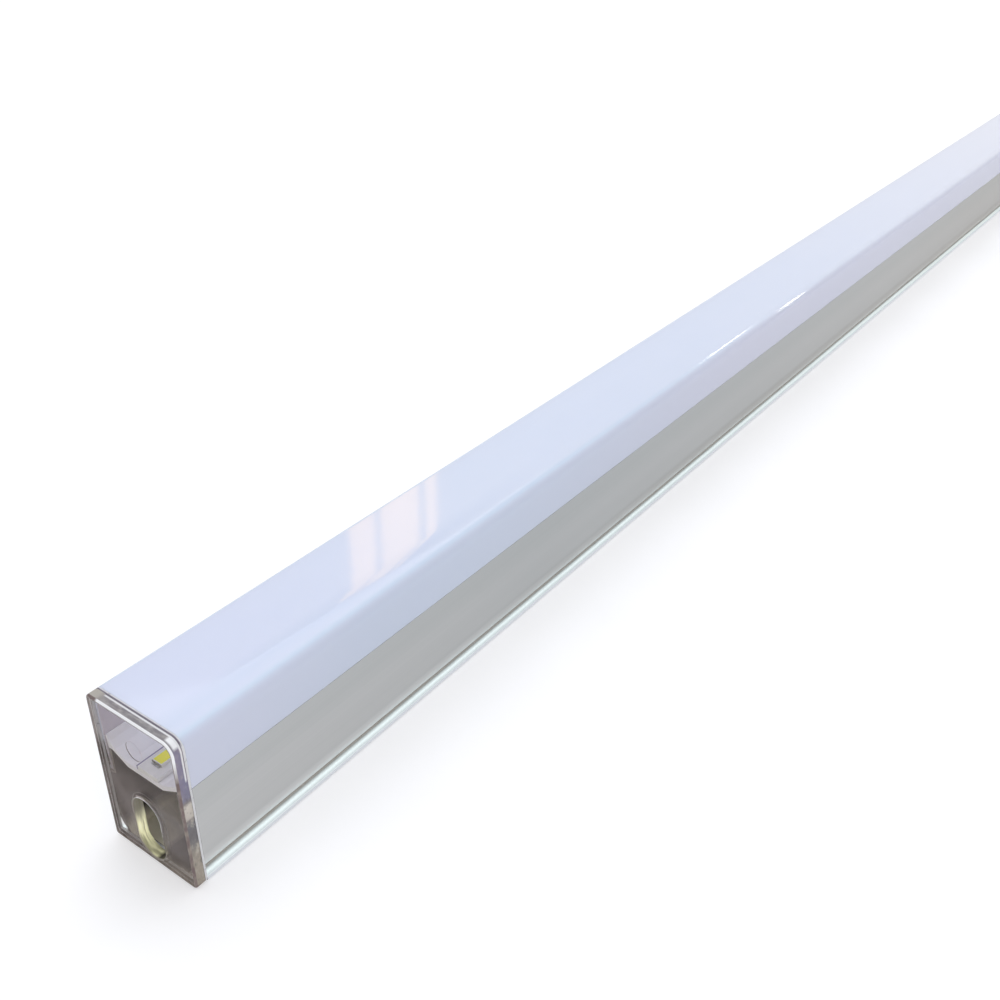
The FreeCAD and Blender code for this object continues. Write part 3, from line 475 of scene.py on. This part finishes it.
def cap_wall_colour(mat, place, rim, edge, right, smudge):
    """Painted light and shade on the cap's side walls and their softened front edge."""
    across, off_centre, height, depth = place
    bright = (0.92, 0.93, 0.94)
    # painted light and shade: grey-brown on the top wall with a beige patch at its left end, dark
    # below and light grey above on the left wall, and the RIGHT_WALL ramp on the right wall
    top = height.rise(35.6, 36.6) * (height - off_centre).rise(25.2, 25.8)
    top_colour = smudge.blend((0.185, 0.170, 0.185), (0.33, 0.315, 0.31))
    left_colour = height.rise(24.0, 28.0).blend(
        smudge.blend((0.075, 0.055, 0.05), (0.13, 0.10, 0.09)),
        smudge.blend((0.44, 0.43, 0.43), (0.60, 0.60, 0.60)))
    # pale and dark flecks on the right wall, denser below
    fleck = mat.noise(scale=(900.0, 900.0, 380.0), detail=4.0, rough=0.7, offset=(4.0, 0.5, 2.0))
    lower = height.remap(22.0, 26.0, to=(1.0, 0.35))
    right_colour = (height / CAP_HEIGHT).ramp(RIGHT_WALL).layered(
        (lower * fleck.remap(0.52, 0.66, to=(0.0, 0.8)), (0.46, 0.43, 0.36)),
        (lower * fleck.remap(0.34, 0.46, to=(0.7, 0.0)), (0.07, 0.065, 0.07)))
    # painted highlight: a bright patch at the upper right corner
    corner_highlight = across.rise(9.6, 10.2) * height.rise(36.6, 37.2) * depth.band(0.8, 2.2, soft=0.2)
    # a painted highlight line, then a painted shade line, near the back of the top and the upper
    # right wall
    high = maximum(top * across.rise(-9.2, -8.6), right * height.rise(28.0, 28.8))
    back_highlight_line = depth.band(1.85, 2.22, soft=0.08) * high
    # painted highlight on the front edge above and at the upper right, painted brown shade elsewhere
    lit = maximum(top * across.rise(-9.6, -9.0), right * height.rise(29.0, 34.5))
    lit = lit * rim.rise(-0.38, -0.28)
    edge_colour = lit.blend(smudge.blend((0.13, 0.085, 0.08), (0.24, 0.20, 0.17)), bright)
    return right.blend(left_colour, right_colour).layered(
        # painted shade along the bottom edge
        (height.fall(0.9, 1.1), smudge.blend((0.16, 0.13, 0.105), (0.30, 0.255, 0.20))),
        (top, top_colour),
        (top * across.fall(-10.2, -8.2), (0.42, 0.40, 0.35)),
        (corner_highlight, bright),
        (back_highlight_line, (0.80, 0.81, 0.82)),
        (high * depth.rise(2.25, 2.3), (0.14, 0.12, 0.15)),
        (edge, edge_colour))


def cap_slot(mat, place, ring):
    """Painted light and shade of the slot's surroundings as colour layers and haze, and the strength
    of the slot wall's painted glow.
    """
    across, _, height, depth = place
    # painted light and shade: the slot wall's glow colours, darker at its lower right, a dark slot
    # edge, a painted highlight on the arch, and a rebate step shaded below and lit at the upper right
    slot = ring.fall(0.02, 0.06)
    slot_edge = ring.fall(0.28, 0.34) * depth.fall(0.28, 0.34)
    arch = (ring.fall(0.80, 0.95) * depth.fall(0.28, 0.34)
            * across.rise(-2.6, -1.8) * height.rise(9.0, 11.5))
    step = ring.band(0.75, 1.02, soft=0.08) * depth.rise(2.30, 2.38)
    streak = mat.noise(scale=(300.0, 1400.0, 160.0), detail=2.0, offset=(0.0, 2.0, 1.0))
    pit_shade = across.rise(0.2, 1.2) * height.fall(3.4, 4.4)      # dark lower right of the slot
    slot_glow_colour = (height / GLOW_HEIGHT).ramp(SLOT_WALL_GLOW).layered(
        (streak.remap(0.4, 0.65, to=(0.0, 0.55)), (0.30, 0.29, 0.17)),
        (pit_shade, (0.018, 0.014, 0.010)),
        (across.rise(0.8, 2.2) * height.rise(4.2, 5.2), (0.10, 0.085, 0.075)))
    up_right = (across * 0.6 + height).rise(8.0, 12.0)
    layers = [
        (slot, slot_glow_colour),
        (slot_edge, (0.24, 0.21, 0.18)),
        (arch, (0.84, 0.90, 0.91)),
        (step, up_right.blend((0.10, 0.08, 0.07), (0.50, 0.47, 0.43)))]
    haze = [slot * 0.86, slot_edge * 0.85, arch * 0.80, step * 0.60]
    # painted glow on the slot wall, fading upwards and towards the lower right
    glow = (slot * height.remap(2.0, 4.0, to=(0.4, 1.0)) * height.remap(7.0, 11.5, to=(1.0, 0.05))
            * (1.0 - pit_shade) * across.remap(0.8, 2.2, to=(1.0, 0.2))
            * streak.remap(0.35, 0.6, to=(1.0, 0.25)))
    return layers, haze, glow


def cap_face_shade(mat, place, rim, ring):
    """Colour layers and haze of the painted shade on the cap's outer face, lighter and warmer low to
    the right of the slot.
    """
    across, _, height, depth = place
    shade_mottle = mat.noise(scale=(160.0, 160.0, 90.0), detail=4.0, rough=0.6, offset=(6.0, 1.0, 3.0))
    face = rim.fall(-0.60, -0.55) * ring.rise(0.35, 0.45)
    # painted shade, stronger low on the left, faint elsewhere on the lower half
    low_left = across.remap(-11.5, -5.0, to=(1.0, 0.15)) * height.fall(2.0, 16.0)
    face_veil_shade = face * depth.fall(0.02, 0.05) * (
        low_left * shade_mottle.remap(0.38, 0.58, to=(0.05, 0.42))
        + height.fall(20.0, 24.0) * shade_mottle.remap(0.4, 0.62, to=(0.03, 0.24)))
    # brown shade right of the slot, warmer and lighter at its foot
    shade = face * depth.fall(0.02, 0.05) * across.rise(0.5, 5.0) * height.fall(17.0, 21.0)
    dusk = shade * height.rise(4.0, 8.0) * shade_mottle.remap(0.35, 0.62, to=(0.62, 0.34))
    warm = shade * height.fall(4.0, 8.0) * shade_mottle.remap(0.35, 0.62, to=(0.16, 0.40))
    layers = [
        (face_veil_shade.above(0.001), (0.335, 0.265, 0.245)),
        (dusk.above(0.02), (0.105, 0.074, 0.070)),
        (shade.above(0.02) * height.fall(3.0, 8.0), (0.33, 0.265, 0.20))]
    return layers, maximum(face_veil_shade, maximum(dusk, warm))


def clear_moulded_cap():
    """Clear plate: polished faces, side walls and soft edges made hazy with painted light and shade,
    and a slot wall with a painted yellow-green glow.
    """
    mat = NodeMaterial("clear_moulded_cap")
    x, y, z = mat.position()
    across = x * TO_MM
    place = Place(across, abs(across), z * TO_MM, depth_behind_end(y))
    depth = place.depth
    scuff, normal = scuffed_moulding(mat)
    smear = mat.noise(scale=(420.0, 900.0, 420.0), rough=0.55, offset=(1.0, 3.0, 7.0))
    smudge = smear.rise(0.42, 0.62)
    right = across.rise(0.0, 0.2)
    rim = cap_rim(place, right)
    ring = slot_ring(place)
    wall = rim.rise(-0.56, -0.50) * depth.rise(0.02, 0.06) * depth.fall(2.39, 2.398)
    edge = rim.rise(-0.53, -0.42) * depth.fall(0.42, 0.53)
    slot_layers, slot_haze, glow = cap_slot(mat, place, ring)
    face_shade_layers, face_shade_haze = cap_face_shade(mat, place, rim, ring)
    colour = cap_wall_colour(mat, place, rim, edge, right, smudge)
    colour = colour.layered(*slot_layers, *face_shade_layers)
    haze = maximum(wall * 0.80, edge * 0.90, *slot_haze, face_shade_haze,
                   scuff.remap(0.45, 0.8, to=(0.2, 1.0)) * 0.03)

    # clear part: refraction with a weakened reflection, full only at grazing angles
    fresnel = mat.add("ShaderNodeFresnel", {"IOR": 1.49, "Normal": normal})
    reflected = maximum(fresnel * 0.28, fresnel.rise(0.9, 1.0))
    finish = {"Roughness": scuff.remap(0.45, 0.75, to=(0.012, 0.09)), "Normal": normal}
    bend = mat.add("ShaderNodeBsdfRefraction",
                   {"Color": (0.975, 0.972, 0.96), "IOR": 1.49, **finish})
    gloss = mat.add("ShaderNodeBsdfGlossy", {"Color": (1.0, 0.88, 0.84), **finish})
    clear = mat.mix_shaders(reflected, bend, gloss)
    milky = mat.principled(
        Base_Color=colour, Roughness=0.30, Coat_Weight=0.3,
        Normal=smear.bump(depth=0.05, strength=0.4),
        # painted glow of the slot wall
        Emission_Color=(0.95, 0.93, 0.58), Emission_Strength=glow * 0.74)
    return mat.finish(mat.mix_shaders(haze, clear, milky),
                      shadow_pass=0.9, shadow_tint=(0.97, 0.97, 0.95))


def translucent_silicone():
    mat = NodeMaterial("translucent_silicone")
    lump = mat.noise(scale=420.0)
    _, y, z = mat.position()
    height, depth = z * TO_MM, depth_behind_end(y)
    top_shade = height.rise(36.5, 37.3) * depth.fall(2.62, 2.72)
    low_shade = depth.fall(2.46, 2.50) * height.fall(24.0, 28.0)
    base = lump.rise(0.35, 0.65).blend((0.66, 0.665, 0.68), (0.76, 0.765, 0.78)).layered(
        (top_shade, (0.17, 0.145, 0.19)),
        (low_shade, (0.085, 0.066, 0.058)))
    return mat.finish(mat.principled(
        Base_Color=base, Roughness=lump.vary(0.25, 0.5), IOR=1.41, Transmission_Weight=0.25,
        Normal=lump.bump(depth=0.08, strength=0.6)), shadow_pass=0.6)


# ------------------------------------------------------------------ light board and tray
def matte_white_reflector():
    mat = NodeMaterial("matte_white_reflector")
    grain = mat.noise(scale=2600.0, detail=4.0, rough=0.65)
    draw = mat.noise(scale=(700.0, 4.0, 700.0), detail=2.0, offset=(4.0, 0.0, 1.0))
    cloud = mat.noise(scale=90.0)
    grain_normal = grain.bump(depth=0.008, strength=0.5)
    return mat.finish(mat.principled(
        Base_Color=cloud.mottle((0.90, 0.895, 0.925), (0.94, 0.935, 0.96)),
        Roughness=grain.vary(0.42, 0.58),
        Normal=draw.bump(depth=0.01, strength=0.5, over=grain_normal)))


def white_solder_resist():
    mat = NodeMaterial("white_solder_resist")
    x = mat.position()[0]
    weave = mat.wave(scale=2400.0, direction="DIAGONAL", distortion=0.6)
    soft = mat.noise(scale=300.0)
    # two long copper tracks under the resist, either side of the packages; bounds in m
    off_row = abs(x - 0.0009)
    track = off_row.rise(0.00160, 0.00166) * off_row.fall(0.00262, 0.00268)
    base = soft.mottle((0.80, 0.80, 0.79), (0.86, 0.86, 0.86)).layered(
        (track * 0.35, (0.72, 0.73, 0.72)),
        # painted shade: a dark violet line along the board's left edge
        (x.fall(-0.00195, -0.00185), (0.17, 0.15, 0.30)))
    return mat.finish(mat.principled(
        Base_Color=base, Roughness=soft.vary(0.30, 0.42),
        Normal=(weave * 0.12 + track).bump(depth=0.03, strength=0.5)))


def white_package():
    """White moulding, with painted grey shade on the faces that look along the lamp."""
    mat = NodeMaterial("white_package")
    fine = mat.noise(scale=6000.0, detail=4.0, rough=0.6)
    end = abs(mat.normal()[1]).rise(0.5, 0.8)
    base = fine.mottle((0.82, 0.82, 0.78), (0.86, 0.86, 0.82)).layered(
        (end, fine.mottle((0.22, 0.22, 0.20), (0.34, 0.34, 0.31))))
    return mat.finish(mat.principled(
        Base_Color=base, Roughness=fine.vary(0.33, 0.48), Normal=fine.bump(depth=0.004)))


def yellow_phosphor():
    mat = NodeMaterial("yellow_phosphor")
    grit = mat.noise(scale=9000.0, detail=4.0, rough=0.7)
    drift = mat.noise(scale=500.0, detail=2.0)
    base = grit.mottle((0.93, 0.87, 0.008), (0.99, 0.94, 0.02)).layered(
        (drift.remap(0.4, 0.7, to=(0.0, 0.3)), (0.98, 0.94, 0.04)))
    return mat.finish(mat.principled(
        Base_Color=base, Roughness=grit.vary(0.3, 0.45), Subsurface_Weight=0.2,
        Subsurface_Scale=0.0003, Normal=grit.bump(depth=0.01, strength=0.5)))


# ------------------------------------------------------------------ driver and leads
def green_circuit_board():
    mat = NodeMaterial("green_circuit_board")
    edge = mat.voronoi(scale=(260.0, 180.0, 260.0), feature="DISTANCE_TO_EDGE")
    grit = mat.noise(scale=2500.0)
    base = edge.rise(0.02, 0.05).blend((0.030, 0.110, 0.050), (0.050, 0.185, 0.085)).layered(
        (grit.vary(0.0, 0.2), (0.08, 0.25, 0.12)))
    return mat.finish(mat.principled(
        Base_Color=base, Roughness=grit.vary(0.25, 0.4),
        Normal=edge.rise(0.0, 0.05).bump(depth=0.04, strength=0.6)))


def insulating_film():
    mat = NodeMaterial("insulating_film")
    crease = mat.noise(scale=(220.0, 60.0, 220.0))
    return mat.finish(mat.principled(
        Base_Color=(0.80, 0.81, 0.82), Roughness=crease.vary(0.22, 0.38), Subsurface_Weight=0.1,
        Normal=crease.bump(depth=0.25, strength=0.4)), shadow_pass=0.3)


def fuse_glass():
    mat = NodeMaterial("fuse_glass")
    scuff, normal = scuffed_moulding(mat)
    glass = mat.principled(
        Base_Color=(0.96, 0.98, 0.97), Roughness=scuff.remap(0.45, 0.75, to=(0.01, 0.11)),
        IOR=1.5, Transmission_Weight=1.0, Normal=normal)
    dust = mat.principled(Base_Color=(0.62, 0.60, 0.57), Roughness=0.5)
    haze = scuff.remap(0.45, 0.8, to=(0.2, 1.0)) * 0.02
    return mat.finish(mat.mix_shaders(haze, glass, dust),
                      shadow_pass=0.9, shadow_tint=(0.97, 0.97, 0.95))


def enamelled_winding():
    mat = NodeMaterial("enamelled_winding")
    turns = mat.wave(scale=(500.0, 500.0, 2300.0), direction="Z", distortion=0.4)
    return mat.finish(mat.principled(
        Base_Color=turns.blend((0.30, 0.09, 0.025), (0.78, 0.34, 0.13)), Metallic=0.85,
        Roughness=0.28, Coat_Weight=0.5, Normal=turns.bump(depth=0.12, strength=0.9)))


def capacitor_can_sleeve():
    """Dark sleeve with a pale stripe, and a bare metal top."""
    mat = NodeMaterial("capacitor_can_sleeve")
    top_metallic = 1.0
    grit = mat.noise(scale=1500.0)
    top = mat.normal()[2].rise(0.8, 0.95)
    stripe = mat.wave(scale=26.0, direction="X", offset=(0.35, 0, 0))
    base = stripe.rise(0.90, 0.93).blend((0.035, 0.045, 0.095), (0.45, 0.47, 0.52)).layered(
        (top, (0.62, 0.62, 0.63)))
    return mat.finish(mat.principled(
        Base_Color=base, Metallic=top * top_metallic, Roughness=grit.vary(0.2, 0.35),
        Normal=grit.bump(depth=0.01, strength=0.5)))


def tinned_strands():
    mat = NodeMaterial("tinned_strands")
    strands = mat.wave(scale=(5200.0, 1600.0, 5200.0), direction="DIAGONAL", distortion=1.0)
    grit = mat.noise(scale=4000.0)
    return mat.finish(mat.principled(
        Base_Color=strands.blend((0.44, 0.43, 0.41), (0.72, 0.71, 0.68)), Metallic=1.0,
        Roughness=grit.vary(0.25, 0.4), Normal=strands.bump(depth=0.08, strength=0.8)))


# ------------------------------------------------------------------ pieces and their materials
paint = {
    "housing_profile": satin_anodised_aluminium(),
    "diffuser_cover": milky_gloss_cover(),
    "end_cap_near": clear_moulded_cap(),
    "end_gasket_near": translucent_silicone(),
    "reflector_tray": matte_white_reflector(),
    "led_board_near": white_solder_resist(),
    "board_tape": plastic("thermal_tape", (0.38, 0.40, 0.44), rough=0.6, grain=1500.0),
    "led_packages": white_package(),
    "led_phosphor": yellow_phosphor(),
    "led_solder_near": bare_metal(
        "tin_solder", scale=3500.0, detail=4.0, colours=((0.50, 0.50, 0.51), (0.72, 0.72, 0.73)),
        rough=(0.22, 0.42), depth=0.02, strength=0.6),
    "board_resistors": plastic("chip_black", (0.03, 0.03, 0.034), rough=0.45, grain=3000.0,
                               depth=0.006),
    "driver_board": green_circuit_board(),
    "driver_sleeve": insulating_film(),
    "driver_terminal": plastic("green_terminal", (0.05, 0.24, 0.11), rough=0.4, grain=2200.0,
                               depth=0.01),
    "terminal_screws": bare_metal(
        "plated_steel", scale=(4000.0, 300.0, 4000.0), detail=3.0,
        colours=((0.60, 0.60, 0.61), (0.74, 0.74, 0.75)),
        rough=(0.18, 0.32), depth=0.008, strength=0.5),
    "driver_fuse": fuse_glass(),
    "driver_varistor": plastic("blue_dip_epoxy", (0.035, 0.10, 0.33), rough=0.22, grain=700.0,
                               depth=0.03, coat=0.4),
    "driver_choke_core": plastic("ferrite", (0.045, 0.045, 0.048), rough=0.55, grain=2600.0,
                                 depth=0.015, speck=(0.10, 0.10, 0.10)),
    "driver_choke_winding": enamelled_winding(),
    "driver_film_capacitor": plastic("yellow_case", (0.60, 0.39, 0.045), grain=1600.0, depth=0.01),
    "driver_rectifier": plastic("epoxy_black", (0.028, 0.028, 0.03), rough=0.5, grain=3200.0,
                                depth=0.01),
    "driver_bulk_capacitors": capacitor_can_sleeve(),
    "driver_transformer_winding": plastic("yellow_winding_tape", (0.62, 0.47, 0.07), rough=0.3,
                                          grain=500.0, stretch=(0.2, 1, 6)),
    "cable_grommet": plastic("black_rubber", (0.022, 0.022, 0.023), rough=0.6, grain=2400.0,
                             edge=(0.07, 0.07, 0.07)),
    "supply_lead_sheath": cable("white_sheath", (0.76, 0.76, 0.74)),
    "lead_core_line": cable("brown_core", (0.16, 0.065, 0.028), rough=0.35),
    "lead_core_neutral": cable("blue_core", (0.03, 0.13, 0.46), rough=0.35),
    "lead_core_tips": tinned_strands(),
    "strain_relief_tie": plastic("natural_nylon", (0.78, 0.77, 0.70), rough=0.4, grain=1200.0,
                                 depth=0.01, subsurface=0.2),
    "output_wire_positive": cable("red_insulation", (0.46, 0.02, 0.018), rough=0.35),
    "output_wire_negative": cable("black_insulation", (0.02, 0.02, 0.02), rough=0.35),
}
# pieces that share another piece's material
shared = {
    "end_cap_far": "end_cap_near",
    "end_gasket_far": "end_gasket_near",
    "led_board_far": "led_board_near",
    "led_solder_far": "led_solder_near",
    "board_jumpers": "led_solder_near",
    "driver_fuse_caps": "terminal_screws",
    "driver_controller": "driver_rectifier",
    "driver_transformer_core": "driver_choke_core",
    "driver_output_capacitor": "driver_bulk_capacitors",
}
for name, piece in nodes.items():
    for slot in piece.material_slots:
        slot.link = "DATA"
        slot.material = paint[shared.get(name, name)]


# ------------------------------------------------------------------ floor and world
def pale_floor():
    mat = NodeMaterial("pale_floor")
    cloud = mat.noise(scale=30.0, detail=4.0)
    return mat.finish(mat.principled(
        Base_Color=cloud.mottle((0.63, 0.63, 0.635), (0.65, 0.65, 0.655)), Roughness=0.65,
        Emission_Color=(1.0, 1.0, 1.0), Emission_Strength=0.36))


def add_floor():
    half, level = 20.0, -0.0003     # m; the floor lies just under the lamp
    material = pale_floor()
    mesh = bpy.data.meshes.new("floor")
    corners = [(-half, -half), (half, -half), (half, half), (-half, half)]
    mesh.from_pydata([(x, y, level) for x, y in corners], [], [(0, 1, 2, 3)])
    floor = bpy.data.objects.new("floor", mesh)
    mesh.materials.append(material)
    scene.collection.objects.link(floor)


def add_world():
    world = bpy.data.worlds.new("studio")
    scene.world = world
    world.use_nodes = True
    background = world.node_tree.nodes["Background"]
    background.inputs["Color"].default_value = (0.965, 0.965, 1.0, 1.0)
    background.inputs["Strength"].default_value = 0.75


add_floor()
add_world()


# ------------------------------------------------------------------ lights
def add_lamp(name, width, tall, power, colour):
    """Rectangular area light, sizes in m and power in W."""
    light = bpy.data.lights.new(name, "AREA")
    light.shape = "RECTANGLE"
    light.size = width
    light.size_y = tall
    light.energy = power
    light.color = colour
    lamp = bpy.data.objects.new(name, light)
    scene.collection.objects.link(lamp)
    return lamp


def aim(lamp, place, target):
    lamp.location = place
    direction = Vector(target) - Vector(place)
    lamp.rotation_euler = direction.to_track_quat("-Z", "Y").to_euler()


def panel_power(radiance, width, tall):
    return radiance * math.pi * width * tall


def add_window():
    """Three panes far off to the back left, seen as a soft reflection in the cover."""
    distance = 4.0
    centre_y = -0.52                  # the panes stand on a circle about this point of the lamp
    bottom = distance * math.tan(math.radians(29.0))
    top = distance * math.tan(math.radians(38.5))
    # first and last azimuth of each pane, degrees from +x towards +y
    panes = ((134.75, 133.15), (132.75, 130.35), (129.9, 129.25))
    for k, (first, last) in enumerate(panes):
        middle = math.radians((first + last) / 2.0)
        width = distance * math.radians(first - last)
        tall = top - bottom
        place = (distance * math.cos(middle), centre_y + distance * math.sin(middle),
                 (bottom + top) / 2.0)
        pane = add_lamp("window_pane_%d" % k, width, tall,
                        power=panel_power(3.2, width, tall), colour=(1.0, 0.55, 0.12))
        aim(pane, place, target=(0.0, centre_y, place[2]))


def add_strip(name, target, away, width, tall, radiance):
    """Far strip lamp that draws a thin highlight along the cover's rounded corner."""
    distance = 4.0
    away = Vector(away).normalized()
    side = Vector((0.0, 1.0, 0.0)).cross(away).normalized()
    lamp = add_lamp(name, width, tall, power=panel_power(radiance, width, tall),
                    colour=(1.0, 0.98, 0.92))
    turn = Matrix((side, away.cross(side), away)).transposed().to_4x4()
    lamp.matrix_world = Matrix.Translation(Vector(target) + away * distance) @ turn


key = add_lamp("key_above", width=2.4, tall=3.2, power=34.0, colour=(0.90, 0.95, 1.0))
aim(key, place=(-0.6, 0.4, 2.6), target=(0, 0, 0))
fill = add_lamp("fill_right", width=1.6, tall=2.4, power=12.0, colour=(1.0, 0.97, 0.97))
aim(fill, place=(2.2, -0.9, 1.2), target=(0, -0.2, 0))
add_window()
add_strip("strip_long", target=(0.0107, -0.372, 0.038), away=(-0.009, 0.843, 0.538),
          width=0.70, tall=0.17, radiance=9.0)
add_strip("strip_short", target=(0.0116, -0.320, 0.0376), away=(0.317, 0.877, 0.361),
          width=0.95, tall=0.045, radiance=22.0)


# ------------------------------------------------------------------ camera
def add_camera():
    lens = bpy.data.cameras.new("cam")
    lens.lens = 40.964          # mm
    lens.sensor_width = 36.0    # mm
    lens.clip_start = 0.01
    lens.clip_end = 50.0
    camera = bpy.data.objects.new("cam", lens)
    place = Vector((0.14913, -HALF_LENGTH - 0.08918, 0.18586))
    # directions of the view's axes
    right = Vector((0.80802717, 0.58898115, 0.0139034))
    down = Vector((0.31793416, -0.41606515, -0.85194346))
    forward = Vector((-0.49599391, 0.69281383, -0.52344917))
    turn = Matrix((right, -down, -forward)).transposed().to_4x4()
    camera.matrix_world = Matrix.Translation(place) @ turn
    scene.collection.objects.link(camera)
    scene.camera = camera


add_camera()

bpy.context.view_layer.update()
